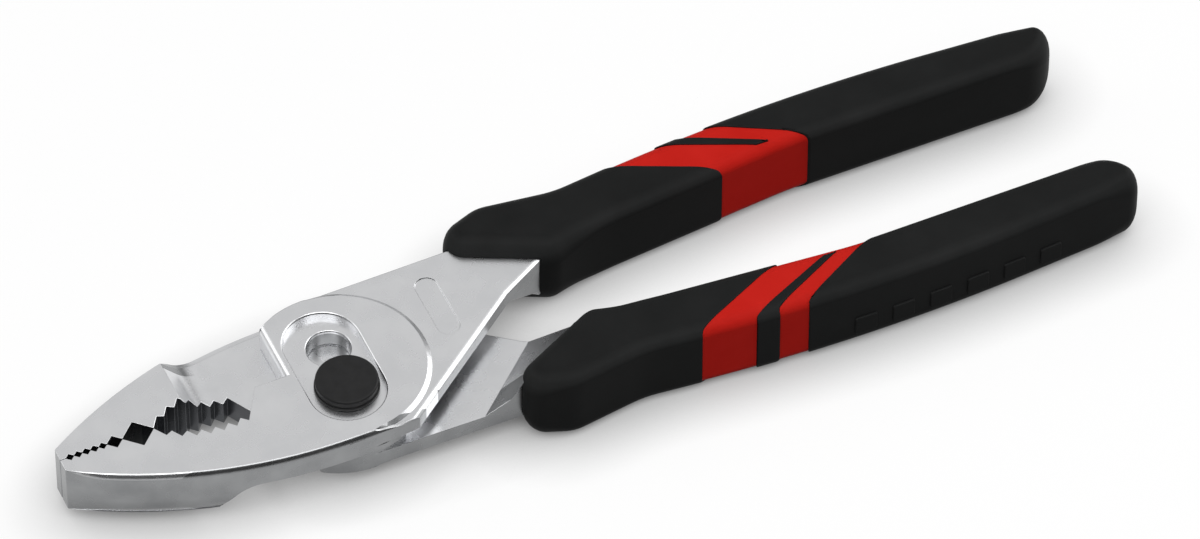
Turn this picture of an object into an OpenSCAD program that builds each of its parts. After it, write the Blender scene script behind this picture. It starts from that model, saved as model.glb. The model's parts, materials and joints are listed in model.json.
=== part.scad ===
// Slip-joint combination pliers, closed and lying on a bench
// Jaws point to -X and handles to +X, with the jaws' parting line over the X axis
// Both halves are one forging: the lower half is the upper one turned half a turn about the long axis

/* [Head] */
// Thickness of the head over both halves
jaw_t = 10.6; // [9.6:0.1:11.6]
// Distance from the nose to the middle of the boss
nose_l = 53.2; // [50:0.1:60]
// Width across both jaws at the nose
nose_w = 5.2; // [4:0.1:8]
// Width across the head at the boss
head_w = 32.8; // [31:0.1:36]
// Distance from the middle of the boss to where the jaw backs start to curve in
back_l = 5; // [2:0.5:9]
// Distance from the middle of the boss to the edge where a jaw starts to thin
jaw_ramp_l = 28.5; // [27:0.1:32]
// Steepness of the ramp over which a jaw thins, in degrees
jaw_ramp_rise = 50; // [44:1:56]
// Radius that rounds the foot of that ramp
jaw_foot_r = 7; // [3:0.5:8]
// Width of the sloped foot round the raised boss
boss_foot = 0.8; // [0.4:0.1:1.5]
// Height of the boss over the neck
boss_step = 0.55; // [0.3:0.05:1]

/* [Teeth] */
// Plain land at the nose before the first notch
nose_land = 1.1; // [0.5:0.1:2]
// Number of fine notches
fine_n = 5; // [2:1:7]
// Pitch of the fine notches
fine_pitch = 1.56; // [1.2:0.02:2]
// Width of the middle notch
middle_notch_w = 2.96; // [2:0.1:4]
// Width of the large notch
large_notch_w = 6; // [4:0.1:7]
// Angle of the notches, in degrees
notch_angle = 92; // [80:1:110]
// Number of valleys in the pipe grip
pipe_n = 7; // [5:1:8]
// Pitch of the pipe grip's teeth
pipe_pitch = 2.43; // [2:0.01:2.6]
// Height of the pipe grip's teeth
pipe_tooth_h = 1.3; // [0.8:0.1:1.6]
// Depth of the pipe grip under the parting line
pipe_depth = 5.55; // [5:0.05:6.5]
// Radius of the pipe grip's curve
pipe_r = 20; // [16:0.5:30]
// Distance from the start of the pipe grip to its first valley
pipe_start = 1.5; // [1:0.1:2]
// Distance from the first valley of the pipe grip to its deepest place
pipe_lead = 10.9; // [8:0.1:14]
// Distance from the middle of the boss to the tip of the wire cutter
cutter_l = 15.4; // [13:0.1:17]
// Distance that the cutter's edge reaches past the parting line
cutter_lap = 1.5; // [0.5:0.1:2.5]
// Distance from the middle of the boss to its flat front wall
boss_front = 9.5; // [8.5:0.1:11]

/* [Slip joint] */
// Distance of the pin from the parting line in the narrow setting
pin_y = 4.1; // [3.5:0.1:5]
// Distance between the two settings
slip_travel = 9.4; // [8:0.1:10]
// Tilt of the slot from square to the tool, in degrees
slot_tilt = 3; // [0:0.5:5]
// Diameter of the pin's round shank
pin_d = 8; // [7:0.1:8.6]
// Width of the pin across its two flats
pin_flat_w = 5.6; // [5:0.1:6.4]
// Diameter of the pin's head
head_d = 11.4; // [10.5:0.1:12.4]
// Thickness of the pin's head
head_t = 1.5; // [1:0.1:2]
// Diameter of the washer under the head
washer_d = 11.8; // [11:0.1:12.6]
// Thickness of the washer
washer_t = 0.6; // [0.4:0.1:1]
// Width of the recess round the slot
recess_w = 14; // [13.4:0.1:15]
// Distance of the recess's middle in front of the pin
recess_lead = 0.6; // [0:0.1:1]
// Length of the recess past the slot's two settings, at each end
recess_spare = 1.1; // [0:0.1:1.6]
// Depth of the recess
recess_depth = 1.5; // [1:0.1:2]
// Diameter of the peened tail
tail_d = 10.6; // [9.4:0.1:12]
// Height of the peened tail
tail_h = 1.6; // [1:0.1:2]
// Distance of the peened tail under the flat back
tail_under = 0.1; // [0.05:0.05:0.3]
// Chamfer round the top of the pin's head
head_edge = 0.25; // [0.1:0.05:0.5]
// Clearance round the pin
pin_fit = 0.05; // [0.02:0.01:0.1]
// Clearance of the pin's flats in the slot, on each side
slot_fit = 0.1; // [0.05:0.01:0.2]
// Clearance between the two halves, and between the jaws
joint_gap = 0.1; // [0.04:0.01:0.2]

/* [Necks] */
// Thickness of the thin web of a neck
web_t = 3.3; // [2.8:0.05:3.8]
// Distance of the neck's outer edge at the grip from the parting line
neck_out = 16.8; // [16.5:0.1:18]
// Distance from the middle of the boss to the grip's mouth at the neck's outer edge
mouth_l = 29.5; // [28:0.1:33]
// Slant of the grip's mouth, in degrees
mouth_slant = 33; // [30:0.5:38]
// Distance from the mouth's outer end to the neck's inner edge, along the tool
neck_reach = 13.5; // [12:0.1:15]
// Slope of the neck's inner edge, in degrees
neck_slope = 37.5; // [34:0.5:40]
// Length of the flatter end of the neck's inner edge at the mouth
bend_back = 9.8; // [6:0.1:12]
// Slope of that flatter end, in degrees
bend_slope = 29; // [24:0.5:33]
// Distance from the middle of the boss to the crease of the neck, at the parting line
crease_l = 39.6; // [39.2:0.1:41]
// Slope of the crease of the neck, in degrees
crease_slope = 42; // [38:0.5:45]
// Steepness of the ramp from the crease up to the grip, in degrees
ramp_rise = 35; // [28:1:38]
// Steepness of the short rise at the mouth, in degrees
mouth_rise = 68; // [55:1:80]
// Distance from the foot of that rise to the mouth
mouth_gap = 0.4; // [0.2:0.1:1]
// Width of the bare pocket on the neck
pocket_w = 4.2; // [3:0.1:5]
// Length of the bare pocket on the neck
pocket_l = 14; // [10:0.5:16]
// Depth of the bare pocket on the neck
pocket_depth = 0.25; // [0.1:0.05:0.5]
// Distance from the middle of the boss to the bare pocket
pocket_x = 21.8; // [20.5:0.1:23]
// Distance of the pocket's middle from the parting line
pocket_y = 5.7; // [5:0.1:7]

/* [Grips] */
// Distance from the middle of the boss to the ends of the grips
grip_end = 150.6; // [140:0.1:165]
// Thickness of a grip
grip_t = 16.4; // [15:0.1:18]
// Reach of the grip's mouth past the neck's inner edge
lip_in = 2.7; // [2.2:0.1:3.4]
// Reach of the mouth's outer end towards the jaws
lip_l = 4.1; // [3.6:0.1:4.6]
// Reach of the mouth's outer end past the neck's outer edge
lip_h = 1.8; // [1.5:0.1:2.2]
// Distance from the mouth's outer end to the grip's shoulder, along the tool
shoulder_l = 5.8; // [5.2:0.1:6.4]
// Height of the shoulder over the mouth's outer end
shoulder_h = 2.1; // [1.8:0.1:2.4]
// Distance from the mouth's outer end to the thumb bulge
bulge_l = 11.1; // [10.2:0.1:12]
// Height of the thumb bulge over the mouth's outer end
bulge_h = 3.9; // [3.5:0.1:4.4]
// Distance from the mouth's outer end to the waist behind the bulge
waist_l = 25.4; // [23:0.1:28]
// Height of the waist over the mouth's outer end
waist_h = 1.9; // [1.4:0.1:2.4]
// Distance from the mouth's outer end to the belly of the grip
belly_l = 67; // [62:0.5:72]
// Height of the belly over the mouth's outer end
belly_h = 6.3; // [5.5:0.1:7]
// Height of the grip's end over the mouth's outer end
end_h = 2.3; // [1.8:0.1:2.8]
// Distance by which the end's inner corner stands back
end_back = 3.6; // [2:0.1:4.4]
// Height of the end's inner corner over the mouth's inner end
end_in_h = 6.3; // [5.8:0.1:6.8]
// Distance from the mouth's inner end to the palm of the grip
palm_l = 50.2; // [46:0.2:54]
// Height of the palm over the mouth's inner end
palm_h = 6.4; // [5.8:0.1:6.8]
// Distance from the mouth's inner end to the heel behind it
heel_l = 8.2; // [7.4:0.1:9]
// Height of the heel over the mouth's inner end
heel_h = 2.7; // [2.3:0.1:3]
// Radius of the mouth's inner corner
corner_in_r = 3.2; // [2.6:0.1:3.6]
// Radius of the mouth's outer corner
corner_out_r = 2.5; // [2.4:0.1:2.8]
// Radius of the shoulder
shoulder_r = 5; // [4:0.1:5.5]
// Radius of the thumb bulge
bulge_r = 9; // [7:0.1:10]
// Radius of the waist
waist_r = 20; // [14:0.5:26]
// Radius of the belly
belly_r = 390; // [300:5:450]
// Radius of the end's outer corner
end_r = 3.6; // [3:0.1:4.2]
// Radius of the end's inner corner
end_in_r = 5.4; // [4:0.1:5.8]
// Radius of the palm
palm_r = 100; // [60:5:150]
// Radius of the heel
heel_r = 60; // [40:5:80]
// Radius of the grip's long edges
edge_r = 2.8; // [2.4:0.1:3]
// Radius of the grip's edges at the mouth
mouth_r = 2.3; // [1.6:0.1:2.4]
// Distance behind the mouth over which the edges widen
edge_blend = 5; // [4:0.5:8]
// Thickness of the black skin over the red core
skin_t = 1.3; // [1:0.1:1.6]
// Distance of the red band under the black skin
band_drop = 0.3; // [0.1:0.05:0.5]
// Bond line between the core and the skin
bond = 0.04; // [0.02:0.01:0.1]
// Width of the steel tang in a grip
tang_w = 5.4; // [4.4:0.1:5.8]
// Distance behind the mouth where the tang has drawn in to its width
tang_lead = 20; // [17:0.5:24]
// Distance of the tang's end before the grip's end
tang_short = 16; // [10:0.5:30]
// Clearance of the tang in the core
tang_fit = 0.05; // [0.02:0.01:0.1]
// Distance from the middle of the boss to the front of the red band, on the outer side
band_front = 62.8; // [60:0.1:66]
// Distance from the middle of the boss to the rear of the red band, on the outer side
band_rear = 82.4; // [80:0.1:86]
// Slant of the red band's front edge along the tool
band_front_slant = 16.6; // [14:0.1:19]
// Slant of the red band's rear edge along the tool
band_rear_slant = 15.2; // [12:0.1:18]
// Distance from the middle of the boss to the stripe, on the outer side
stripe_x = 72.6; // [70:0.1:74]
// Width of the stripe on the outer side
stripe_w = 4.1; // [3:0.1:5]
// Width of the stripe at its tip
stripe_tip_w = 1.9; // [1.5:0.1:3]
// Slant of the stripe along the tool
stripe_slant = 15.6; // [12:0.1:18]
// Distance inside the grip's two sides within which the colours' edges are slanted
slant_drop = 0.7; // [0.3:0.1:1.2]
// Distance of the stripe's tip from the parting line
tip_in = 14.9; // [14:0.1:16]
// Number of raised pads on a grip's outer side
pad_n = 6; // [3:1:7]
// Distance from the middle of the boss to the first pad
pad_x = 90.6; // [89:0.1:94]
// Pitch of the pads
pad_pitch = 7.45; // [6.5:0.05:8]
// Length of a pad
pad_l = 4.3; // [3:0.1:5]
// Height of a pad across the side
pad_w = 4.2; // [2.5:0.1:5]
// Distance of the pads' middle from the grip's mid-plane
pad_z = 3; // [0:0.1:3]
// Distance that a pad stands out
pad_proud = 0.35; // [0.2:0.05:0.5]

/* [Hidden] */
$fn = 96;
// Room by which a cut passes the solid that it cuts
over = 1;
// Length that passes the whole tool
far = 200;
// Steps round each of a grip's edges, degrees in a step of its outline, and the fewest steps at a corner
edge_steps = 4;
outline_step = 14;
least_steps = 3;
// Degrees in a step of the boss's round front and the jaw's foot, and of the jaw's back
arc_step = 6;
back_step = 2;
// Steps along the tang
tang_steps = 3;
// Smallest radius of an edge that is drawn in
least_edge = 0.5;
// Depth of a pad's root in the skin
pad_root = skin_t / 2;

half_t = jaw_t / 2;
head_r = head_w / 2;
joint_z = joint_gap / 2;
neck_z = half_t - boss_step;
web_z = neck_z - web_t;
floor_z = half_t - recess_depth;
// The jaw's back is one arc from the nose to a tangent beside the boss
back_run = nose_l - back_l;
back_drop = head_r - nose_w / 2;
back_r = (back_run * back_run + back_drop * back_drop) / (2 * back_drop);
// Starts of the notches along the jaw, from the nose
fine_x = -nose_l + nose_land;
middle_x = fine_x + fine_n * fine_pitch;
large_x = middle_x + middle_notch_w;
pipe_x = large_x + large_notch_w;
first_valley = pipe_x + pipe_start;
deepest_x = first_valley + pipe_lead;
last_valley = first_valley + (pipe_n - 1) * pipe_pitch;
// Directions across the tool, from the jaws' side of a slanted line to its handle side
mouth_normal = [sin(mouth_slant), cos(mouth_slant)];
mouth_along = [cos(mouth_slant), -sin(mouth_slant)];
mouth_pos = [mouth_l, neck_out];
// The neck's inner edge runs from the head's side by the bend to the mouth
neck_in = mouth_pos + neck_reach / cos(mouth_slant) * mouth_along;
neck_bend = neck_in - bend_back * [cos(bend_slope), sin(bend_slope)];
neck_foot = neck_bend[0] - (neck_bend[1] + head_r) / tan(neck_slope);
pin_pos = [0, -pin_y];
slip_dir = [sin(slot_tilt), cos(slot_tilt)];
seat_z = floor_z + joint_z;
tail_z = -half_t + tail_under;
tang_from = mouth_l + tang_lead;
tang_end = grip_end - tang_short;
tang_z = neck_z;
// Corners of a grip's plan outline and the radii that round them, in order round the grip
mouth_in = neck_in + lip_in * mouth_along;
mouth_out = mouth_pos + [-lip_l, lip_h];
GRIP = [
    [mouth_in, corner_in_r],
    [mouth_out, corner_out_r],
    [mouth_out + [shoulder_l, shoulder_h], shoulder_r],
    [mouth_out + [bulge_l, bulge_h], bulge_r],
    [mouth_out + [waist_l, waist_h], waist_r],
    [mouth_out + [belly_l, belly_h], belly_r],
    [[grip_end, mouth_out[1] + end_h], end_r],
    [[grip_end - end_back, mouth_in[1] + end_in_h], end_in_r],
    [mouth_in + [palm_l, palm_h], palm_r],
    [mouth_in + [heel_l, heel_h], heel_r]];

steel = "silver";
black = "#1c1d1d";
red = "#c52f29";
dark = "#303031";

function unit(v) = v / norm(v);
function cross2(a, b) = a[0] * b[1] - a[1] * b[0];
function turned(v, a) = [v[0] * cos(a) - v[1] * sin(a), v[0] * sin(a) + v[1] * cos(a)];
function wrap(list, i) = list[(i + len(list)) % len(list)];

// One corner of a closed outline, rounded by an arc that is tangent to both of its sides
function arc_points(before, corner, after, r) =
    let (
        u = unit(before - corner),
        v = unit(after - corner),
        half = acos(u * v) / 2,
        middle = corner + unit(u + v) * r / sin(half),
        start = corner + u * r / tan(half) - middle,
        turn = (cross2(u, v) > 0 ? -1 : 1) * (180 - 2 * half),
        steps = max(least_steps, ceil(abs(turn) / outline_step)))
    [for (i = [0:steps]) middle + turned(start, turn * i / steps)];

function rounded(corners) =
    [for (i = [0:len(corners) - 1])
        each arc_points(
            wrap(corners, i - 1)[0], corners[i][0], wrap(corners, i + 1)[0], corners[i][1])];

// Direction out of a clockwise outline at one of its points
function outward(outline, i) = turned(unit(wrap(outline, i + 1) - wrap(outline, i - 1)), 90);

// A grip's edges are tight at the mouth and widen within a short way behind it
function edge_radius(p) =
    let (
        way = (p - mouth_pos) * mouth_normal,
        share = max(0, min(1, (way - mouth_r) / edge_blend)))
    mouth_r + (edge_r - mouth_r) * share * share * (3 - 2 * share);

// A grip's plan outline, its outer and inner sides, and how far it reaches
OUTLINE = rounded(GRIP);
OUTER = [for (p = OUTLINE) if (p[1] > mouth_out[1]) p];
INNER = [for (p = OUTLINE) if (p[1] < tip_in) p];
grip_reach = max([for (p = OUTLINE) p[0]]);

// Middle line of the tang, half way between the grip's two sides
TANG = [for (i = [0:tang_steps])
    let (x = tang_from + (tang_end - tang_from) * i / tang_steps)
    [x, (lookup(x, OUTER) + lookup(x, INNER)) / 2]];

// Where a colour's edge turns to slant on the outer side, and where it ends on the inner one
function slant_from(x) = lookup(x, OUTER) - slant_drop;
function slant_to(x) = lookup(x, INNER) + slant_drop;

// Depth of a V notch, and the curve on which the pipe grip's valleys lie
function notch_depth(w) = w / 2 / tan(notch_angle / 2);
function valley_y(x) = pipe_r - pipe_depth - sqrt(pipe_r * pipe_r - (x - deepest_x) * (x - deepest_x));
function notch(x, w) = [[x, -joint_z], [x + w / 2, -notch_depth(w)]];

// Points on an arc about a middle, from one angle to another
function arc(middle, r, from, to, step) =
    let (steps = ceil(abs(to - from) / step))
    [for (i = [0:steps])
        let (a = from + (to - from) * i / steps)
        middle + r * [cos(a), sin(a)]];

// Teeth along one jaw from the nose to the tip of the cutter
TEETH = concat(
    [for (i = [0:fine_n - 1]) each notch(fine_x + i * fine_pitch, fine_pitch)],
    notch(middle_x, middle_notch_w),
    notch(large_x, large_notch_w),
    [[pipe_x, -joint_z]],
    [for (i = [0:pipe_n - 2])
        let (x = first_valley + i * pipe_pitch, tip = x + pipe_pitch / 2)
        each [[x, valley_y(x)], [tip, valley_y(tip) + pipe_tooth_h]]],
    [[last_valley, valley_y(last_valley)], [-cutter_l, cutter_lap]]);

// The steel from the mouth to the end of the tang, grown sideways by room
function tang_outline(room) =
    concat(
        [for (p = TANG) p + [0, tang_w / 2 + room]],
        [[tang_end + room, TANG[len(TANG) - 1][1] + tang_w / 2 + room]],
        [[tang_end + room, TANG[len(TANG) - 1][1] - tang_w / 2 - room]],
        [for (i = [len(TANG) - 1:-1:0]) TANG[i] - [0, tang_w / 2 + room]],
        [neck_in - [0, room / cos(bend_slope)]]);

// Plan outline of one half: teeth, cutter, boss, neck, tang and the jaw's curved back
HALF = concat(
    [[-nose_l, -joint_z]],
    TEETH,
    [[-boss_front, cutter_lap]],
    arc([0, 0], head_r, acos(-boss_front / head_r), 90, arc_step),
    [mouth_pos],
    tang_outline(0),
    [neck_bend, [neck_foot, -head_r]],
    arc([-back_l, back_r - head_r], back_r, -90, -90 - asin(back_run / back_r), back_step));

// Edge of a colour across a grip: square on the two sides and slanted over the top
function slant_edge(x, slant) =
    [[x, far], [x, slant_from(x)], [x + slant, slant_to(x + slant)], [x + slant, -far]];

// Puts the tool on the bench with its bounding box over the origin
module place() {
    translate([(nose_l - grip_reach) / 2, 0, grip_t / 2])
        children();
}

// The same piece on the other half: half a turn about the long axis
module turned_over() {
    rotate([180, 0, 0])
        children();
}

// A profile drawn in distance and height, drawn out square to the distance
module prism(profile) {
    rotate([90, 0, 0])
        linear_extrude(2 * far, center = true)
            polygon(profile);
}

// What is cut from under a half, so that the other half passes: joint, thin web and ramps
module under_cut() {
    foot_z = joint_z - jaw_foot_r;
    ramp_top = half_t + foot_z + jaw_foot_r * cos(jaw_ramp_rise);
    foot_x = -jaw_ramp_l + ramp_top / tan(jaw_ramp_rise) + jaw_foot_r * sin(jaw_ramp_rise);
    ramp_out = 1 / tan(ramp_rise);
    rise_out = 1 / tan(mouth_rise);
    low = -half_t - over;
    intersection() {
        translate([crease_l, 0, 0])
            rotate([0, 0, 90 - crease_slope])
                prism([[-far, web_z], [0, web_z], [(web_z - low) * ramp_out, low], [-far, low]]);
        translate(mouth_pos - mouth_gap * mouth_normal)
            rotate([0, 0, 90 - mouth_slant])
                prism([
                    [-far, web_z], [-(web_z + neck_z) * rise_out, web_z],
                    [(-neck_z - low) * rise_out, low], [-far, low]]);
        union() {
            prism(concat(
                [[-jaw_ramp_l - over / tan(jaw_ramp_rise), low]],
                arc([foot_x, foot_z], jaw_foot_r, 90 + jaw_ramp_rise, 90, arc_step),
                [[far, joint_z], [far, low]]));
            difference() {
                translate([0, -far, low])
                    cube([far, 2 * far, web_z - low]);
                cylinder(r = head_r, h = 2 * far, center = true);
            }
        }
    }
}

// What is cut from a half to leave the boss raised over the neck, and to thin the tang's other side
module neck_cut() {
    foot_out = boss_foot / boss_step;
    difference() {
        translate([0, -far, neck_z])
            cube([far, 2 * far, boss_step + over]);
        translate([0, 0, neck_z])
            cylinder(
                r1 = head_r + boss_foot / 2, r2 = head_r - boss_foot / 2 - over * foot_out,
                h = boss_step + over);
    }
    translate([0, -far, -half_t - over])
        cube([far, 2 * far, boss_step + over]);
}

module half_blank() {
    difference() {
        linear_extrude(jaw_t, center = true)
            polygon(HALF);
        under_cut();
        neck_cut();
    }
}

// A long hole with round ends, from start along the given way
module long_hole(start, way, d, h) {
    for (p = [start, start + way])
        translate(p)
            cylinder(d = d, h = h);
    translate(start)
        rotate([0, 0, atan2(way[1], way[0])])
            translate([0, -d / 2, 0])
                cube([norm(way), d, h]);
}

module slot_cut() {
    channel = pin_flat_w + 2 * slot_fit;
    for (t = [0, slip_travel])
        translate(pin_pos + t * slip_dir)
            cylinder(d = pin_d + 2 * pin_fit, h = far, center = true);
    translate(pin_pos)
        rotate([0, 0, -slot_tilt])
            translate([-channel / 2, 0, -far / 2])
                cube([channel, slip_travel, far]);
    recess_half = slip_travel / 2 + recess_spare;
    translate([0, 0, floor_z])
        long_hole([-recess_lead, -recess_half], [0, 2 * recess_half], recess_w, recess_depth + over);
}

module upper_half() {
    color(steel)
        place()
            difference() {
                half_blank();
                slot_cut();
                translate([0, 0, neck_z - pocket_depth])
                    long_hole(
                        [pocket_x, pocket_y - pocket_l / 2 + pocket_w / 2], [0, pocket_l - pocket_w],
                        pocket_w, pocket_depth + over);
            }
}

module lower_half() {
    color(steel)
        place()
            difference() {
                turned_over()
                    half_blank();
                translate(pin_pos) {
                    cylinder(d = pin_d + 2 * pin_fit, h = far, center = true);
                    pin_tail(slot_fit, over);
                }
            }
}

// Flared tail of the pin, grown by room and lengthened below by extra
module pin_tail(room, extra) {
    slope = (tail_d - pin_d) / 2 / (tail_h - tail_under);
    bottom_r = tail_d / 2 + room;
    top_r = pin_d / 2 + room;
    rotate_extrude()
        polygon([
            [0, tail_z - extra], [bottom_r + extra * slope, tail_z - extra],
            [top_r, -half_t + tail_h], [0, -half_t + tail_h]]);
}

module pivot_pin() {
    head_z = seat_z + washer_t;
    head_r_in = head_d / 2 - head_edge;
    color(dark)
        place()
            translate(pin_pos) {
                rotate_extrude()
                    polygon([
                        [0, head_z], [head_d / 2, head_z], [head_d / 2, head_z + head_t - head_edge],
                        [head_r_in, head_z + head_t], [0, head_z + head_t]]);
                intersection() {
                    cylinder(d = pin_d, h = head_z + over / 2);
                    rotate([0, 0, -slot_tilt])
                        translate([-pin_flat_w / 2, -pin_d, -over])
                            cube([pin_flat_w, 2 * pin_d, far]);
                }
                translate([0, 0, -half_t + tail_h])
                    cylinder(d = pin_d, h = half_t - tail_h);
                pin_tail(0, 0);
            }
}

module pivot_washer() {
    color(dark)
        place()
            translate([pin_pos[0], pin_pos[1], seat_z])
                difference() {
                    cylinder(d = washer_d, h = washer_t);
                    translate([0, 0, -over])
                        cylinder(d = pin_d + 2 * pin_fit, h = washer_t + 2 * over);
                }
}

// A grip's whole form with its rounded edges, drawn in on every side by inset
module grip_form(inset) {
    n = len(OUTLINE);
    rise = grip_t / 2 - inset;
    bends = [
        for (i = [0:edge_steps]) [-1, 90 * i / edge_steps - 90],
        for (i = [0:edge_steps]) [1, 90 * i / edge_steps]];
    last = len(bends) - 1;
    points = [
        for (b = bends)
            for (i = [0:n - 1])
                let (
                    r = max(least_edge, edge_radius(OUTLINE[i]) - inset),
                    p = OUTLINE[i] - outward(OUTLINE, i) * (inset + r * (1 - cos(b[1]))))
                [p[0], p[1], b[0] * (rise - r) + r * sin(b[1])]];
    sides = [
        for (k = [0:last - 1])
            for (i = [0:n - 1])
                let (j = (i + 1) % n)
                each [
                    [k * n + i, (k + 1) * n + j, (k + 1) * n + i],
                    [k * n + i, k * n + j, (k + 1) * n + j]]];
    bottom = [for (i = [0:n - 1]) n - 1 - i];
    top = [for (i = [0:n - 1]) last * n + i];
    polyhedron(points, concat(sides, [bottom, top]), convexity = 6);
}

// Room for the steel in a grip
module tang_room() {
    room = concat(
        [mouth_pos + [-edge_blend, tang_fit]],
        tang_outline(tang_fit),
        [neck_bend - [0, tang_fit]]);
    linear_extrude(2 * (tang_z + tang_fit), center = true)
        polygon(room);
}

// Zones of a grip's colours, drawn through its whole thickness
module zone(points) {
    linear_extrude(far, center = true)
        polygon(points);
}

// The stripe, grown on every side by room
module stripe_zone(room) {
    from = slant_from(stripe_x);
    front_run = stripe_slant / (from - tip_in);
    rear_run = (stripe_slant + stripe_tip_w - stripe_w) / (from - tip_in);
    front_x = stripe_x - room * norm([1, front_run]);
    rear_x = stripe_x + stripe_w + room * norm([1, rear_run]);
    drop = from - tip_in + room;
    zone([
        [front_x, far], [front_x, from], [front_x + front_run * drop, from - drop],
        [rear_x + rear_run * drop, from - drop], [rear_x, from], [rear_x, far]]);
}

module band_zone() {
    front = slant_edge(band_front + bond, band_front_slant);
    rear = slant_edge(band_rear - bond, band_rear_slant);
    zone(concat(front, [for (i = [len(rear) - 1:-1:0]) rear[i]]));
}

// A moulding of the given colour that spans the given thickness
module moulded(paint, t) {
    color(paint)
        resize([0, 0, t])
            children();
}

module grip_core() {
    moulded(red, grip_t - 2 * band_drop)
        difference() {
            union() {
                grip_form(skin_t);
                difference() {
                    intersection() {
                        grip_form(band_drop);
                        band_zone();
                    }
                    stripe_zone(bond);
                }
            }
            tang_room();
        }
}

// The part of the black skin that lies in a zone
module skin() {
    difference() {
        intersection() {
            grip_form(0);
            children();
        }
        grip_form(skin_t - bond);
    }
}

module grip_front() {
    moulded(black, grip_t)
        difference() {
            skin()
                zone(concat([[0, far]], slant_edge(band_front, band_front_slant), [[0, -far]]));
            tang_room();
        }
}

module grip_stripe() {
    moulded(black, grip_t)
        skin()
            stripe_zone(0);
}

// Raised pads in a row, each square to the grip's outer side
module pads() {
    for (i = [0:pad_n - 1]) {
        x = pad_x + i * pad_pitch;
        y = lookup(x, OUTER);
        translate([x, y, pad_z - pad_w / 2])
            rotate([0, 0, atan2(lookup(x + pad_l, OUTER) - y, pad_l)])
                translate([0, -pad_root, 0])
                    cube([pad_l, pad_root + pad_proud, pad_w]);
    }
}

module grip_rear() {
    moulded(black, grip_t) {
        skin()
            zone(concat([[far, far]], slant_edge(band_rear, band_rear_slant), [[far, -far]]));
        pads();
    }
}

upper_half();
lower_half();
pivot_pin();
pivot_washer();
place() grip_core();  // upper_grip_core
place() grip_front();  // upper_grip_front
place() grip_stripe();  // upper_grip_stripe
place() grip_rear();  // upper_grip_rear
place() turned_over() grip_core();  // lower_grip_core
place() turned_over() grip_front();  // lower_grip_front
place() turned_over() grip_stripe();  // lower_grip_stripe
place() turned_over() grip_rear();  // lower_grip_rear
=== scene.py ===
"""Slip-joint pliers on a pale floor: the looks of the steel, the pin and the moulded grips."""
import json
from math import acos, ceil, cos, hypot, pi, radians, sin, tan

import bmesh
import bpy
from mathutils import Matrix, Vector


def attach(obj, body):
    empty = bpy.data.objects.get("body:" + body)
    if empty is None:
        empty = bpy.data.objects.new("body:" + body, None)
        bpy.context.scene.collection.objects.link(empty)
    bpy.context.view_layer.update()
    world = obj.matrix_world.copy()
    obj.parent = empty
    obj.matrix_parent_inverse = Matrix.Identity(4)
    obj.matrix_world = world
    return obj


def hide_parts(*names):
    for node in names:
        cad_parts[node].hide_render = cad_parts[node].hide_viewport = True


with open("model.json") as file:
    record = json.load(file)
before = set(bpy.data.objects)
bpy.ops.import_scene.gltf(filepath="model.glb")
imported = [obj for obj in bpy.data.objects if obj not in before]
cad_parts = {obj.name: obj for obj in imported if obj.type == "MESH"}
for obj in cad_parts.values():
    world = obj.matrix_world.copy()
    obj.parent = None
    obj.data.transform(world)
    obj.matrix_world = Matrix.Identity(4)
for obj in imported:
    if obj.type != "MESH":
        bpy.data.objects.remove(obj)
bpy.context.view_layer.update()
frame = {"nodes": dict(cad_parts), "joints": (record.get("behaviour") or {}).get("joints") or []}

# Lengths are in millimetres and angles in degrees, unless a comment says otherwise
MM = 0.001
# The middle of the boss, from which the tool is measured
HINGE = next(Vector(j["pos_m"]) for j in frame["joints"] if j["name"] == "hinge")
ORIGIN = Vector((HINGE.x, 0, HINGE.z))
HALF_TURN = Matrix.Translation(ORIGIN) @ Matrix.Rotation(pi, 4, "X") @ Matrix.Translation(-ORIGIN)

# The camera: where it looks, and from where. DISTANCE and CLIP_END are in metres
LOOK_AT = (53.38, 5.12, 0)
AZIMUTH = -24.3
ELEVATION = 49.7
DISTANCE = 1.8
CLIP_END = 20
LENS = 300.8
SENSOR = 36

# The head and the necks
HEAD_R = 16.4
HALF_T = 5.3
NECK_Z = 4.75
NOSE_L = 53.2
PIPE_X = -35.3
CUTTER_L = 15.4
CUTTER_LAP = 1.5
RECESS_X, RECESS_W, RECESS_L = -0.6, 14, 25.6
POCKET_X, POCKET_Y, POCKET_W, POCKET_L = 21.8, 5.7, 4.2, 14
NECK_FOOT = 8.7

# A grip's outline, its rounded edges and its domed ends
MOUTH_L = 29.5
NECK_OUT = 16.8
MOUTH_SLANT = 33
MOUTH_LIP = 2.7
MOUTH_SHOULDER = (-4.1, 1.8)
NECK_REACH = 13.5
GRIP_END = 151.4
GRIP_T = 16.4
EDGE_R = 2.9
LEAST_R = 0.5
MOUTH_R = 3.6
EDGE_BLEND = 6
END_DOME, END_LEAD = 4, 12
MOUTH_DOME, MOUTH_LEAD = 2, 8

# A grip's layers, and the steel inside it
SKIN_T = 1.3
BAND_DROP = 0.3
BOND = 0.04
TANG_FIT = 0.05
TANG_W = 5.4
TANG_LEAD = 20
TANG_SHORT = 16
TANG_STATIONS = 4
BEND_BACK = 9.8
BEND_SLOPE = 29

# The colours' edges on a grip
BAND_FRONT, BAND_FRONT_SLANT = 61.4, 19.8
BAND_REAR, BAND_REAR_SLANT = 81.7, 17.4
STRIPE_X, STRIPE_W = 71.8, 4.3
STRIPE_TIP_W, STRIPE_SLANT, TIP_IN = 2.6, 16.6, 14.4
SLANT_DROP = 0.7
OUTER_BEND, INNER_BEND, STRIPE_BEND = 1.2, 2.6, 0.7
SKIN_EDGE, STRIPE_EDGE, SKIN_ANGLE, SKIN_WELD = 0.22, 0.2, 50, 0.03

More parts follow.
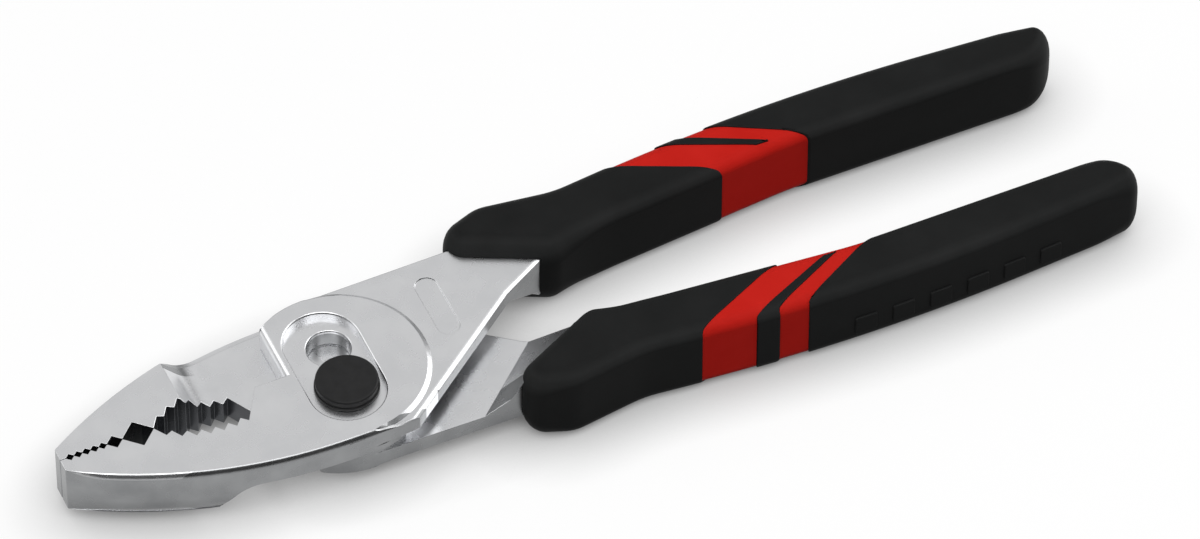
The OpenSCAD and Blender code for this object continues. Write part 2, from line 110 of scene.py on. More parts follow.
# The raised pads on a grip's outer side
PAD_N, PAD_X, PAD_PITCH, PAD_Z = 6, 90.6, 7.45, 3
PAD_L, PAD_W, PAD_PROUD = 4.3, 4.2, 0.35
PAD_CORNER, PAD_EDGE, PAD_ANGLE, PAD_UPRIGHT = 0.5, 0.2, 60, 0.9

# How finely the grips are drawn
OUTLINE_STEP = 5
OUTLINE_GAP = 1.2
ARC_STEPS = 4
EDGE_STEPS = 7
FAR = 200
TINY = 1e-9
GRIP_CRISP = 38

# The rounded section of the jaws' forged sides, and the faces that belong to it
SWELL_TILT, SWELL_TOP_R = 50, 2.2
SWELL_LOW, SWELL_LOW_R = -1.4, 7.8
SWELL_LEAD, SWELL_FADE = 4, 5
SWELL_CUTS = (5.15, 4.9, 4.6, 4.25, 3.9, 3.6, -1.4, -2.4, -3.4, -4.2, -4.9)
CUT_FIT = 0.001
SIDE_LEVEL, SIDE_OUTWARD = 0.2, 0.3
JAW_BACK, BOSS_SIDE = -10, -14

# Widths of the steel's rounded edges
FINE_EDGE, TOOTH_EDGE = 0.07, 0.12
POCKET_EDGE, FOOT_EDGE, PLAIN_EDGE = 0.12, 0.12, 0.28
RIM_EDGE, JAW_EDGE, NECK_EDGE, BOSS_EDGE = 0.4, 0.1, 1.1, 1.4

# Bounds that tell those edges apart
CLOSE, CLOSER = 0.2, 0.1
BELOW_TOP = 1
STEP_REACH, STEP_FOOT = 2.6, 0.3
POCKET_DEEP = 0.5
TEETH_BACK, TEETH_LOW, TEETH_HIGH = 1, -7, 2.5
TEETH_FALL, TEETH_SLACK = 0.35, 1.2
IN_GRIP, AT_MOUTH = 4, -3
RECESS_LOW, RECESS_FOOT_W = 1, 1
BOSS_FRONT = -9.4
NECK_INSIDE = 3

# How the steel's mesh is cleaned, rounded and shaded
STEEL_WELD, STEP_FADE = 0.13, 0.6
FLAT_ANGLE, EDGE_ANGLE = 0.4, 40
EDGE_SEGMENTS = 4
STEEL_CRISP = 30

# Boxes of the steel whose colour holds different painted light and shade, measured from the
# middle of the boss
HEAD_BOX = {"X": (-15, 14), "Y": (-15, 15), "Z": (-2, 9)}
SLOT_BOX = {"X": (-5.6, 4.4), "Y": (-11, 11), "Z": (-9, 3.1)}
TEETH_BOX = {"X": (-37, -15), "Y": (-8, 8)}
MIDDLE_BOX = {"Y": (-12, 12)}

# The range in which most of a noise's values lie
NOISE_LOW, NOISE_HIGH = 0.3, 0.7

# The room's light, the walls that metal sees, and where and how their dark side fades in
ROOM, WALLS = 0.06, 0.4
DARK_ELEVATION, DARK_FROM, DARK_TO = 20, 0.3, 0.75

# The floor: half its side in metres, its drop below the tool, its grey, its glow and the
# distance over which the tool shades it
FLOOR_HALF, FLOOR_DROP = 4, 0.05
FLOOR_GREY, FLOOR_GLOW, SHADE_REACH = 0.22, 0.8, 12

# Each light's name, azimuth, elevation, distance and size in metres, and power
LIGHTS = [
    ("key_softbox", -24, 65, 1.8, (2.0, 1.4), 21),
    ("back_softbox", 160, 50, 2.0, (4.8, 2.2), 9.5),
    ("right_softbox", 92, 34, 1.6, (1.3, 1.7), 12),
    ("left_softbox", 236, 34, 1.6, (0.9, 1.0), 3.4)]


def at(p):
    """A point of the tool, measured from the middle of the boss, in the frame."""
    return ORIGIN + MM * Vector(p)


def plan(angle):
    """The direction at an angle in the plan."""
    return Vector((cos(radians(angle)), sin(radians(angle))))


def ease(value):
    """A value between 0 and 1, eased at both ends."""
    value = max(0, min(1, value))
    return value * value * (3 - 2 * value)


def new_object(name, data):
    made = bpy.data.objects.new(name, data)
    bpy.context.scene.collection.objects.link(made)
    return made


def object_from(name, bm):
    mesh = bpy.data.meshes.new(name)
    bm.to_mesh(mesh)
    bm.free()
    return new_object(name, mesh)


def drop(o):
    mesh = o.data
    bpy.data.objects.remove(o)
    bpy.data.meshes.remove(mesh)


def settle(o):
    """Makes an object's modifiers part of its mesh."""
    graph = bpy.context.evaluated_depsgraph_get()
    graph.update()
    mesh = bpy.data.meshes.new_from_object(o.evaluated_get(graph))
    old = o.data
    o.modifiers.clear()
    o.data = mesh
    mesh.name = o.name
    bpy.data.meshes.remove(old)


def combined(base, tool, operation):
    """Cuts, joins or intersects base with tool, which is used up."""
    modifier = base.modifiers.new("combine", "BOOLEAN")
    modifier.operation = operation
    modifier.solver = "MANIFOLD"
    modifier.object = tool
    settle(base)
    drop(tool)
    return base


def smooth(o, angle):
    """Smooth shading, with edges sharper than angle kept crisp and flat faces kept flat."""
    bm = bmesh.new()
    bm.from_mesh(o.data)
    for f in bm.faces:
        f.smooth = True
    for e in bm.edges:
        e.smooth = len(e.link_faces) == 2 and e.calc_face_angle() < radians(angle)
    bm.to_mesh(o.data)
    bm.free()
    modifier = o.modifiers.new("weighted normals", "WEIGHTED_NORMAL")
    modifier.keep_sharp = True


def round_edges(bm, edges, width, segments):
    bmesh.ops.bevel(
        bm, geom=edges, offset=width * MM, segments=segments, profile=0.5, affect="EDGES")


def arc_points(before, corner, after, r):
    """A corner of an outline, rounded by an arc that is tangent to both sides."""
    u = (before - corner).normalized()
    v = (after - corner).normalized()
    half = acos(u.dot(v)) / 2
    middle = corner + (u + v).normalized() * r / sin(half)
    start = corner + u * r / tan(half) - middle
    turn = (-1 if u.cross(v) > 0 else 1) * (pi - 2 * half)
    by_angle = ceil(abs(turn) / radians(OUTLINE_STEP))
    by_length = ceil(abs(turn) * r / OUTLINE_GAP)
    steps = max(ARC_STEPS, by_angle, by_length)
    return [middle + Matrix.Rotation(turn * i / steps, 2) @ start for i in range(steps + 1)]


def rounded(corners):
    """A closed outline with rounded corners and no long gaps between its points."""
    points = []
    for i, (corner, r) in enumerate(corners):
        points += arc_points(corners[i - 1][0], corner, corners[(i + 1) % len(corners)][0], r)
    filled = []
    for a, b in zip(points, points[1:] + points[:1]):
        parts = max(1, ceil((b - a).length / OUTLINE_GAP))
        filled += [a.lerp(b, k / parts) for k in range(parts)]
    return filled


MOUTH_NORMAL = plan(90 - MOUTH_SLANT)
MOUTH_ALONG = plan(-MOUTH_SLANT)
MOUTH_POS = Vector((MOUTH_L, NECK_OUT))
NECK_IN = MOUTH_POS + NECK_REACH / cos(radians(MOUTH_SLANT)) * MOUTH_ALONG
NECK_BEND = NECK_IN - BEND_BACK * plan(BEND_SLOPE)
MOUTH_IN = NECK_IN + MOUTH_LIP * MOUTH_ALONG
MOUTH_OUT = MOUTH_POS + Vector(MOUTH_SHOULDER)
# The corners of a grip's outline, each with its radius: the mouth, the outer side, the end
# and the inner side
GRIP = [
    (MOUTH_IN, 4.5),
    (MOUTH_OUT + Vector((-4.8, 0)), 4),
    (MOUTH_OUT + Vector((11.1, 3.9)), 9),
    (MOUTH_OUT + Vector((25.4, 1.9)), 20),
    (MOUTH_OUT + Vector((67, 6.3)), 390),
    (Vector((GRIP_END, MOUTH_OUT.y + 2.3)), 3.1),
    (Vector((GRIP_END - 5.2, MOUTH_IN.y + 6.3)), 7),
    (MOUTH_IN + Vector((50.2, 6.4)), 100),
    (MOUTH_IN + Vector((8.2, 2.7)), 52)]
OUTLINE = rounded(GRIP)


def side_y(x, outer):
    """Where the grip's outer or inner side lies at x."""
    side = [p for p in OUTLINE if (p.y > MOUTH_OUT.y if outer else p.y < TIP_IN)]
    side.sort(key=lambda p: p.x)
    for a, b in zip(side, side[1:]):
        if a.x <= x <= b.x:
            return a.y + (b.y - a.y) * (x - a.x) / max(b.x - a.x, TINY)
    return side[0].y if x < side[0].x else side[-1].y


def behind_mouth(p):
    """How far a point of the plan lies behind the line of the grip's mouth."""
    return (p - MOUTH_POS).dot(MOUTH_NORMAL)


def edge_radius(p):
    """The radius of a grip's edge: wide at the mouth, tighter behind it."""
    return EDGE_R + (MOUTH_R - EDGE_R) * ease(1 - (behind_mouth(p) - MOUTH_R) / EDGE_BLEND)


def edge_rise(p):
    """How far a grip's edge rounding reaches down the side: further at the domed ends."""
    mouth = MOUTH_DOME * ease(1 - behind_mouth(p) / MOUTH_LEAD)
    return edge_radius(p) + mouth + END_DOME * ease((p.x - GRIP_END + END_LEAD) / END_LEAD)


def grip_form(inset):
    """A grip's whole form with rounded edges, drawn in on every side by inset."""
    n = len(OUTLINE)
    bends = [(-1, pi / 2 * (i / EDGE_STEPS - 1)) for i in range(EDGE_STEPS + 1)]
    bends += [(1, pi / 2 * i / EDGE_STEPS) for i in range(EDGE_STEPS + 1)]
    bm = bmesh.new()
    rings = []
    for side, bend in bends:
        ring = []
        for i, p in enumerate(OUTLINE):
            along = (OUTLINE[(i + 1) % n] - OUTLINE[i - 1]).normalized()
            outward = Vector((-along.y, along.x))
            r = max(LEAST_R, edge_radius(p) - inset)
            q = p - outward * (inset + r * (1 - cos(bend)))
            rise = max(LEAST_R, edge_rise(p) - inset)
            z = side * (GRIP_T / 2 - inset - rise) + rise * sin(bend)
            ring.append(bm.verts.new(at((q.x, q.y, z))))
        rings.append(ring)
    for low, high in zip(rings, rings[1:]):
        for i in range(n):
            j = (i + 1) % n
            bm.faces.new((low[j], low[i], high[i], high[j]))
    bm.faces.new(rings[0])
    bm.faces.new(rings[-1][::-1])
    bmesh.ops.recalc_face_normals(bm, faces=bm.faces)
    return object_from("form", bm)


def prism(points, height):
    """A plan outline drawn up and down from the mid-plane."""
    bm = bmesh.new()
    low, high = ([bm.verts.new(at((p[0], p[1], z))) for p in points] for z in (-height, height))
    n = len(points)
    for i in range(n):
        bm.faces.new((low[i], low[(i + 1) % n], high[(i + 1) % n], high[i]))
    bm.faces.new(low)
    bm.faces.new(high)
    bmesh.ops.recalc_face_normals(bm, faces=bm.faces)
    return object_from("prism", bm)


def zone(points):
    """All that lies over and under a plan outline."""
    return prism(points, GRIP_T)


def bent(points, radii):
    """An open line of points, with each bend between its ends rounded by its radius."""
    points = [Vector(p) for p in points]
    line = points[:1]
    for i, r in enumerate(radii):
        line += arc_points(points[i], points[i + 1], points[i + 2], r)
    return line + points[-1:]


def slant_edge(x, slant):
    """The edge of a colour: square on the sides and slanted over the top."""
    end = x + slant
    top = side_y(x, True) - SLANT_DROP
    low = side_y(end, False)
    return bent([(x, FAR), (x, top), (end, low), (end, -FAR)], [OUTER_BEND, INNER_BEND])


def stripe_zone(room):
    """The stripe's place in the red band, widened by room on each side."""
    top = side_y(STRIPE_X, True) - SLANT_DROP
    front_run = STRIPE_SLANT / (top - TIP_IN)
    rear_run = (STRIPE_SLANT + STRIPE_TIP_W - STRIPE_W) / (top - TIP_IN)
    front_x = STRIPE_X - room * hypot(1, front_run)
    rear_x = STRIPE_X + STRIPE_W + room * hypot(1, rear_run)
    fall = top - TIP_IN + room
    front_tip = (front_x + front_run * fall, top - fall)
    rear_tip = (rear_x + rear_run * fall, top - fall)
    front = bent([(front_x, FAR), (front_x, top), front_tip], [STRIPE_BEND])
    rear = bent([rear_tip, (rear_x, top), (rear_x, FAR)], [STRIPE_BEND])
    return zone(front + rear)


def band_zone():
    front = slant_edge(BAND_FRONT + BOND, BAND_FRONT_SLANT)
    rear = slant_edge(BAND_REAR - BOND, BAND_REAR_SLANT)
    return zone(front + rear[::-1])


def tang_room():
    """Room in a grip for the steel."""
    start, end = MOUTH_L + TANG_LEAD, GRIP_END - TANG_SHORT
    middle = []
    for i in range(TANG_STATIONS):
        x = start + (end - start) * i / (TANG_STATIONS - 1)
        middle.append(Vector((x, (side_y(x, True) + side_y(x, False)) / 2)))
    half = TANG_W / 2 + TANG_FIT
    points = [MOUTH_POS + Vector((-EDGE_BLEND, TANG_FIT))]
    points += [p + Vector((0, half)) for p in middle]
    points += [middle[-1] + Vector((TANG_FIT, half)), middle[-1] + Vector((TANG_FIT, -half))]
    points += [p - Vector((0, half)) for p in reversed(middle)]
    points += [NECK_IN - Vector((0, TANG_FIT)), NECK_BEND - Vector((0, TANG_FIT))]
    return prism(points, NECK_Z + TANG_FIT)


def soften(o, width):
    """Rounds a skin's crisp edges along the colours."""
    bm = bmesh.new()
    bm.from_mesh(o.data)
    bmesh.ops.remove_doubles(bm, verts=bm.verts, dist=SKIN_WELD * MM)
    last = at((BAND_REAR + 2 * BAND_REAR_SLANT, 0, 0)).x
    crisp = []
    for e in bm.edges:
        if len(e.link_faces) == 2 and e.verts[0].co.x < last:
            if e.calc_face_angle() > radians(SKIN_ANGLE):
                crisp.append(e)
    round_edges(bm, crisp, width, segments=3)
    bm.to_mesh(o.data)
    bm.free()


def skin(place, edge):
    """The part of the black skin that lies in a zone, with its edges softened."""
    solid = combined(grip_form(0), place, "INTERSECT")
    soften(solid, edge)
    return combined(solid, grip_form(SKIN_T - BOND), "DIFFERENCE")


def pad_blocks():
    """The raised pads on the outer side, each a block with rounded corners and edges."""
    bm = bmesh.new()
    root = SKIN_T / 2
    for i in range(PAD_N):
        x = PAD_X + i * PAD_PITCH
        a = Vector((x, side_y(x, True)))
        b = Vector((x + PAD_L, side_y(x + PAD_L, True)))
        turn = Matrix.Rotation((b - a).angle_signed(Vector((1, 0))), 4, "Z")
        middle = (a + b) / 2 + Vector((0, (PAD_PROUD - root) / 2))
        place = Matrix.Translation(at((middle.x, middle.y, PAD_Z)))
        size = Matrix.Diagonal((PAD_L * MM, (root + PAD_PROUD) * MM, PAD_W * MM, 1))
        bmesh.ops.create_cube(bm, size=1, matrix=place @ turn @ size)
    upright = []
    for e in bm.edges:
        if abs((e.verts[0].co - e.verts[1].co).normalized().y) > PAD_UPRIGHT:
            upright.append(e)
    round_edges(bm, upright, PAD_CORNER, segments=4)
    crisp = [e for e in bm.edges if e.calc_face_angle() > radians(PAD_ANGLE)]
    round_edges(bm, crisp, PAD_EDGE, segments=3)
    return object_from("pads", bm)


def grip_meshes():
    """The four mouldings of one grip, as objects."""
    core = combined(grip_form(BAND_DROP), band_zone(), "INTERSECT")
    combined(core, stripe_zone(BOND), "DIFFERENCE")
    combined(core, grip_form(SKIN_T), "UNION")
    combined(core, tang_room(), "DIFFERENCE")
    front_edge = slant_edge(BAND_FRONT, BAND_FRONT_SLANT)
    front = skin(zone([(0, FAR), *front_edge, (0, -FAR)]), SKIN_EDGE)
    combined(front, tang_room(), "DIFFERENCE")
    stripe = skin(stripe_zone(0), STRIPE_EDGE)
    rear_edge = slant_edge(BAND_REAR, BAND_REAR_SLANT)
    rear = skin(zone([(FAR, FAR), *rear_edge, (FAR, -FAR)]), SKIN_EDGE)
    combined(rear, pad_blocks(), "UNION")
    return {"core": core, "front": front, "stripe": stripe, "rear": rear}


def make_grips(looks):
    """The upper grip's pieces, and the lower grip's, which are the same turned over."""
    for part, made in grip_meshes().items():
        made.name = f"upper_grip_{part}_moulding"
        made.data.materials.clear()
        made.data.materials.append(looks[part])
        smooth(made, GRIP_CRISP)
        twin = new_object(f"lower_grip_{part}_moulding", made.data.copy())
        twin.data.transform(HALF_TURN)
        smooth(twin, GRIP_CRISP)
        for half, piece in (("upper", made), ("lower", twin)):
            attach(piece, half)
            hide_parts(f"{half}_grip_{part}")


def recess_edge(x, y, z):
    """The rim of the slot's recess is rounded, and its foot is sharp, where the washer slides."""
    if z > HALF_T - CLOSE:
        return RIM_EDGE
    past_middle = max(0, abs(y) - (RECESS_L - RECESS_W) / 2)
    in_foot = hypot(x - RECESS_X, past_middle) > RECESS_W / 2 - RECESS_FOOT_W
    return 0 if in_foot else PLAIN_EDGE


def forging_edge(x, y, z):
    """How wide an edge of the upper half is rounded."""
    behind = behind_mouth(Vector((x, y)))
    from_pocket = max(abs(x - POCKET_X) - POCKET_W / 2, abs(y - POCKET_Y) - POCKET_L / 2)
    from_recess = max(abs(x - RECESS_X) - RECESS_W / 2, abs(y) - RECESS_L / 2)
    teeth_side = -TEETH_FALL * (x + NOSE_L) - TEETH_SLACK
    if x > 0 and hypot(x, y) < HEAD_R + STEP_REACH and STEP_FOOT < z < NECK_Z - BELOW_TOP:
        return 0
    if from_pocket < CLOSER and z > NECK_Z - POCKET_DEEP:
        return POCKET_EDGE
    if -NOSE_L < x < -CUTTER_L + TEETH_BACK and max(TEETH_LOW, teeth_side) < y < TEETH_HIGH:
        return FINE_EDGE if x < PIPE_X else TOOTH_EDGE
    if behind > IN_GRIP or behind > AT_MOUTH and z < NECK_Z - BELOW_TOP:
        return FOOT_EDGE
    if from_recess < CLOSE and z > RECESS_LOW:
        return recess_edge(x, y, z)
    if x < BOSS_FRONT and y > CUTTER_LAP + CLOSER and z > HALF_T - CLOSE:
        return BOSS_EDGE
    if y < 0 and x < NECK_FOOT and abs(z) > NECK_Z - CLOSER:
        return JAW_EDGE
    if x > NECK_FOOT and y < NECK_OUT - NECK_INSIDE and z > NECK_Z - CLOSE:
        return NECK_EDGE
    return PLAIN_EDGE


def turned_edge(x, y, z):
    return forging_edge(x, -y, -z)


def pin_edge(x, y, z):
    return FOOT_EDGE


def swell(x, z):
    """How far the forged side of the upper half's jaw swells out from its edges."""
    start = radians(SWELL_TILT)
    top = max(0, z - HALF_T + SWELL_TOP_R * sin(start))
    low = max(0, SWELL_LOW - z)
    out = SWELL_TOP_R * (1 - cos(start))
    out -= SWELL_TOP_R - (SWELL_TOP_R ** 2 - top ** 2) ** 0.5
    out -= SWELL_LOW_R - (SWELL_LOW_R ** 2 - low ** 2) ** 0.5
    return out * ease((x + NOSE_L) / SWELL_LEAD) * ease((NECK_FOOT - x) / SWELL_FADE)


def swell_jaw(o, turned):
    """Gives the outer side of a half's jaw the rounded section of a forging."""
    bm = bmesh.new()
    bm.from_mesh(o.data)
    flip = Vector((1, -1, -1)) if turned else Vector((1, 1, 1))

    def side_faces():
        chosen = []
        for f in bm.faces:
            p, n = (f.calc_center_median() - ORIGIN) / MM * flip, f.normal * flip
            if abs(n.z) < SIDE_LEVEL and n.y < -SIDE_OUTWARD and p.x < NECK_FOOT:
                if p.x < JAW_BACK or p.y < BOSS_SIDE:
                    chosen.append(f)
        return chosen

    for z in SWELL_CUTS:
        faces = side_faces()
        edges = {e for f in faces for e in f.edges}
        verts = {v for f in faces for v in f.verts}
        bmesh.ops.bisect_plane(
            bm, geom=[*faces, *edges, *verts], dist=CUT_FIT * MM,
            plane_co=at((0, 0, z * flip.z)), plane_no=(0, 0, 1))
    moves = {}
    for f in side_faces():
        for v in f.verts:
            moves.setdefault(v, Vector()).xy += f.normal.xy
    for v, way in moves.items():
        p = (v.co - ORIGIN) / MM * flip
        v.co += way.normalized() * swell(p.x, p.z) * MM
    bm.normal_update()
    bm.to_mesh(o.data)
    bm.free()


def rounded_copy(node, body, material, width_at):
    """A copy of a CAD piece with its edges rounded, in the piece's place."""
    bm = bmesh.new()
    bm.from_mesh(frame["nodes"][node].data)
    bmesh.ops.remove_doubles(bm, verts=bm.verts, dist=STEEL_WELD * MM)
    for y in (-HEAD_R, HEAD_R):
        for z in (-HALF_T, HALF_T):
            step_end = at((0, y, z))
            fade = [v for v in bm.verts if (v.co - step_end).length < STEP_FADE * MM]
            bmesh.ops.pointmerge(bm, verts=fade, merge_co=step_end)
    bmesh.ops.dissolve_limit(
        bm, angle_limit=radians(FLAT_ANGLE), verts=bm.verts, edges=bm.edges)
    weight = bm.edges.layers.float.new("bevel_weight_edge")
    for e in bm.edges:
        if len(e.link_faces) == 2 and e.calc_face_angle() > radians(EDGE_ANGLE):
            middle = (e.verts[0].co + e.verts[1].co) / 2
            e[weight] = width_at(*((middle - ORIGIN) / MM)) / BOSS_EDGE
    made = object_from(f"{node}_rounded", bm)
    bevel = made.modifiers.new("rounded edges", "BEVEL")
    bevel.limit_method = "WEIGHT"
    bevel.width = BOSS_EDGE * MM
    bevel.segments = EDGE_SEGMENTS
    bevel.use_clamp_overlap = False
    settle(made)
    if body != "pivot":
        swell_jaw(made, body == "lower")
    made.data.materials.clear()
    made.data.materials.append(material)
    smooth(made, STEEL_CRISP)
    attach(made, body)
    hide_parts(node)


class Look:
    """A procedural material and its nodes."""

    def __init__(self, name):
        self.material = bpy.data.materials.new(name)
        self.material.use_nodes = True
        self.tree = self.material.node_tree
        self.shader = self.tree.nodes["Principled BSDF"]
        self.place = self.add("ShaderNodeTexCoord").outputs["Object"]

    def add(self, kind):
        return self.tree.nodes.new(kind)

    def link(self, a, b):
        self.tree.links.new(a, b)

    def set(self, **values):
        """Sets the shader's own sockets."""
        for name, value in values.items():
            self.shader.inputs[name.replace("_", " ")].default_value = value

    def feed(self, name, value):
        """Links a value to one of the shader's sockets."""
        self.link(value, self.shader.inputs[name])

    def noise(self, grain_mm, detail):
        """Noise whose grains are about the given size."""
        made = self.add("ShaderNodeTexNoise")
        made.inputs["Scale"].default_value = 1 / (grain_mm * MM)
        made.inputs["Detail"].default_value = detail
        self.link(self.place, made.inputs["Vector"])
        return made.outputs["Fac"]

    def spread(self, value, low, high, lowest=NOISE_LOW, highest=NOISE_HIGH):
        """A value spread over a range."""
        made = self.add("ShaderNodeMapRange")
        made.inputs["From Min"].default_value = lowest
        made.inputs["From Max"].default_value = highest
        made.inputs["To Min"].default_value = low
        made.inputs["To Max"].default_value = high
        self.link(value, made.inputs["Value"])
        return made.outputs["Result"]

    def tint(self, value, dark, light):
        """A colour between dark and light, by value."""
        ramp = self.add("ShaderNodeValToRGB")
        ends = ((NOISE_LOW, dark), (NOISE_HIGH, light))
        for element, (position, shade) in zip(ramp.color_ramp.elements, ends):
            element.position = position
            element.color = (*shade, 1)
        self.link(value, ramp.inputs["Fac"])
        return ramp.outputs["Color"]

    def flatness(self, low, high):
        """How level a face is: 0 on upright faces and 1 on level ones."""
        parts = self.add("ShaderNodeSeparateXYZ")
        self.link(self.add("ShaderNodeNewGeometry").outputs["Normal"], parts.inputs["Vector"])
        level = self.add("ShaderNodeMath")
        level.operation = "ABSOLUTE"
        self.link(parts.outputs["Z"], level.inputs[0])
        return self.spread(level.outputs[0], 0, 1, low, high)

    def within(self, axis, low, high):
        """1 where a coordinate lies between two values in metres, and 0 elsewhere."""
        parts = self.add("ShaderNodeSeparateXYZ")
        self.link(self.place, parts.inputs["Vector"])
        made = self.add("ShaderNodeMath")
        made.operation = "COMPARE"
        made.inputs[1].default_value = (low + high) / 2
        made.inputs[2].default_value = (high - low) / 2
        self.link(parts.outputs[axis], made.inputs[0])
        return made.outputs[0]

    def inside(self, box):
        """1 in a box measured from the middle of the boss, and 0 elsewhere."""
        share = None
        for axis, (low, high) in box.items():
            start = ORIGIN["XYZ".index(axis)]
            here = self.within(axis, start + low * MM, start + high * MM)
            share = here if share is None else self.joined("MULTIPLY", share, here)
        return share

    def joined(self, operation, a, b):
        made = self.add("ShaderNodeMath")
        made.operation = operation
        self.link(a, made.inputs[0])
        self.link(b, made.inputs[1])
        return made.outputs[0]

    def mixed(self, share, a, b):
        made = self.add("ShaderNodeMix")
        made.data_type = "RGBA"
        self.link(share, made.inputs["Factor"])
        self.link(a, made.inputs["A"])
        self.link(b, made.inputs["B"])
        return made.outputs["Result"]

    def bump(self, height, depth_mm):
        made = self.add("ShaderNodeBump")
        made.inputs["Distance"].default_value = depth_mm * MM
        self.link(height, made.inputs["Height"])
        self.feed("Normal", made.outputs["Normal"])


def steel_look():
    """Satin chrome, its colour holding painted light and shade: lighter on level and sloped
    faces, partly the grinding and partly painted light, and on the head's upright walls as
    painted light; darker on upright sides, partly the forged finish and partly painted shade,
    darkest in the teeth and kept darker in the slot's bore as painted shade.
    """
    look = Look("satin_chrome")
    look.set(Metallic=1.0)
    cloud = look.noise(grain_mm=6, detail=4)
    # Painted light: the head's upright walls take the lighter colour, but the slot's bore keeps
    # the darker one as painted shade
    head = look.joined("SUBTRACT", look.inside(HEAD_BOX), look.inside(SLOT_BOX))
    level, slope = look.flatness(low=0.85, high=0.97), look.flatness(low=0.3, high=0.5)
    sloped = look.joined("MULTIPLY", slope, look.inside(MIDDLE_BOX))
    painted_light_mask = look.joined("MAXIMUM", look.joined("MAXIMUM", level, head), sloped)
    # The lighter colour is partly the grinding of level faces and partly painted light; the
    # darker colours are partly the forged and machined finish of the sides and partly painted
    # shade
    ground_and_painted_light = look.tint(cloud, (0.7, 0.705, 0.72), (0.75, 0.755, 0.765))
    forged = look.tint(cloud, (0.24, 0.245, 0.25), (0.31, 0.315, 0.32))
    cut_and_painted_shade = look.tint(cloud, (0.12, 0.125, 0.135), (0.17, 0.175, 0.185))
    # Darkest in the teeth: partly their machined finish, partly painted shade between the jaws
    sides = look.mixed(look.inside(TEETH_BOX), forged, cut_and_painted_shade)
    look.feed("Base Color", look.mixed(painted_light_mask, sides, ground_and_painted_light))
    look.feed("Roughness", look.spread(cloud, low=0.25, high=0.3))
    look.bump(look.noise(grain_mm=0.22, detail=2), depth_mm=0.009)
    return look.material


def pin_look():
    look = Look("black_oxide")
    look.set(Specular_IOR_Level=0.22)
    cloud = look.noise(grain_mm=1.5, detail=4)
    look.feed("Base Color", look.tint(cloud, (0.011, 0.011, 0.0115), (0.016, 0.016, 0.0165)))
    look.feed("Roughness", look.spread(cloud, low=0.38, high=0.5))
    look.bump(look.noise(grain_mm=0.18, detail=2), depth_mm=0.01)
    return look.material


def moulding_look(name, dark, light, painted_highlight_gain, low, high):
    """A moulded elastomer with a painted highlight on its edges, which are coloured lighter where
    the top turns into the side, and the range of its roughness.
    """
    look = Look(name)
    look.set(Specular_IOR_Level=0.02)
    cloud = look.noise(grain_mm=9, detail=4)
    off_side, on_top = look.flatness(low=0.1, high=0.4), look.flatness(low=0.72, high=0.97)
    # Painted highlight: the rounded edges between top and side are coloured lighter
    edges = look.joined("SUBTRACT", off_side, on_top)
    painted_highlight_colour = look.tint(cloud, *([painted_highlight_gain * c for c in shade] for shade in (dark, light)))
    look.feed("Base Color", look.mixed(edges, look.tint(cloud, dark, light), painted_highlight_colour))
    look.feed("Roughness", look.spread(cloud, low, high))
    look.bump(look.noise(grain_mm=0.3, detail=2), depth_mm=0.012)
    return look.material


def floor_look():
    """Grey to the tool, and white to the camera and to metal, but for the shade by the tool."""
    look = Look("pale_floor")
    look.set(
        Base_Color=(FLOOR_GREY, FLOOR_GREY, FLOOR_GREY, 1), Roughness=0.9,
        Specular_IOR_Level=0.0, Emission_Color=(1, 1, 1, 1))
    rays = look.add("ShaderNodeLightPath")
    seen = look.joined("MAXIMUM", rays.outputs["Is Camera Ray"], rays.outputs["Is Glossy Ray"])
    open_air = look.add("ShaderNodeAmbientOcclusion")
    open_air.inputs["Distance"].default_value = SHADE_REACH * MM
    share = look.joined("MULTIPLY", seen, open_air.outputs["AO"])
    glow = look.spread(share, low=0, high=FLOOR_GLOW, lowest=0, highest=1)
    look.feed("Emission Strength", glow)
    return look.material


def towards(azimuth, elevation):
    """The direction from the tool to a place round it."""
    a, e = radians(azimuth), radians(elevation)
    return Vector((sin(a) * cos(e), -cos(a) * cos(e), sin(e)))


def aim(o, target):
    o.rotation_mode = "QUATERNION"
    o.rotation_quaternion = (Vector(target) - o.location).to_track_quat("-Z", "Y")


def softbox(name, azimuth, elevation, distance, size, power):
    """A rectangular light, aimed at the tool's middle."""
    lamp = bpy.data.lights.new(name, "AREA")
    lamp.shape = "RECTANGLE"
    lamp.size, lamp.size_y = size
    lamp.energy = power
    made = new_object(name, lamp)
    made.location = distance * towards(azimuth, elevation)
    aim(made, (0, 0, 0))


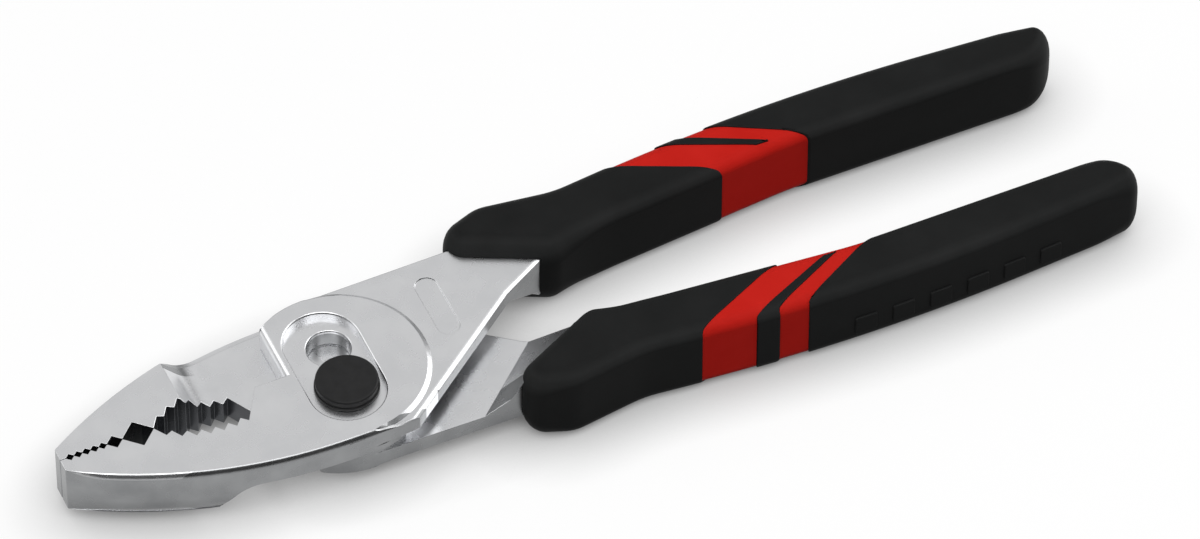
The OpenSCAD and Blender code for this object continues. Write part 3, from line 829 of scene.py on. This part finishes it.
def studio_world():
    """A dim room, which metal sees as pale walls with a dark side in front."""
    world = bpy.data.worlds.new("studio")
    world.use_nodes = True
    nodes, links = world.node_tree.nodes, world.node_tree.links
    nodes["Background"].inputs["Color"].default_value = (1, 1, 1, 1)
    facing = nodes.new("ShaderNodeVectorMath")
    facing.operation = "DOT_PRODUCT"
    facing.inputs[1].default_value = towards(AZIMUTH, DARK_ELEVATION)
    links.new(nodes.new("ShaderNodeTexCoord").outputs["Generated"], facing.inputs[0])
    walls = nodes.new("ShaderNodeMapRange")
    walls.inputs["From Min"].default_value = DARK_FROM
    walls.inputs["From Max"].default_value = DARK_TO
    walls.inputs["To Min"].default_value = WALLS
    walls.inputs["To Max"].default_value = 0
    links.new(facing.outputs["Value"], walls.inputs["Value"])
    level = nodes.new("ShaderNodeMath")
    level.operation = "MULTIPLY_ADD"
    links.new(walls.outputs["Result"], level.inputs[0])
    links.new(nodes.new("ShaderNodeLightPath").outputs["Is Glossy Ray"], level.inputs[1])
    level.inputs[2].default_value = ROOM
    links.new(level.outputs[0], nodes["Background"].inputs["Strength"])
    return world


def stage():
    """The floor, the lights and the world."""
    bm = bmesh.new()
    bmesh.ops.create_grid(bm, x_segments=1, y_segments=1, size=FLOOR_HALF)
    floor = object_from("floor", bm)
    floor.location.z = -FLOOR_DROP * MM
    floor.data.materials.append(floor_look())
    for light in LIGHTS:
        softbox(*light)
    bpy.context.scene.world = studio_world()
    bpy.context.scene.view_settings.view_transform = "Standard"


def camera():
    lens = bpy.data.cameras.new("camera")
    lens.sensor_width = SENSOR
    lens.lens = LENS
    lens.clip_end = CLIP_END
    made = new_object("camera", lens)
    target = at(LOOK_AT)
    made.location = target + DISTANCE * towards(AZIMUTH, ELEVATION)
    aim(made, target)
    bpy.context.scene.camera = made


camera()
stage()
steel = steel_look()
rounded_copy("upper_half", "upper", steel, forging_edge)
rounded_copy("lower_half", "lower", steel, turned_edge)
oxide = pin_look()
for node in ("pivot_pin", "pivot_washer"):
    rounded_copy(node, "pivot", oxide, pin_edge)
# The factor after the two colours lightens each moulding's edges as a painted highlight
black = moulding_look(
    "black_elastomer", dark=(0.0155, 0.016, 0.016), light=(0.0195, 0.02, 0.02),
    painted_highlight_gain=1.6, low=0.42, high=0.5)
red = moulding_look(
    "red_elastomer", dark=(0.57, 0.016, 0.011), light=(0.63, 0.021, 0.015),
    painted_highlight_gain=1.08, low=0.4, high=0.48)
make_grips({"core": red, "front": black, "stripe": black, "rear": black})
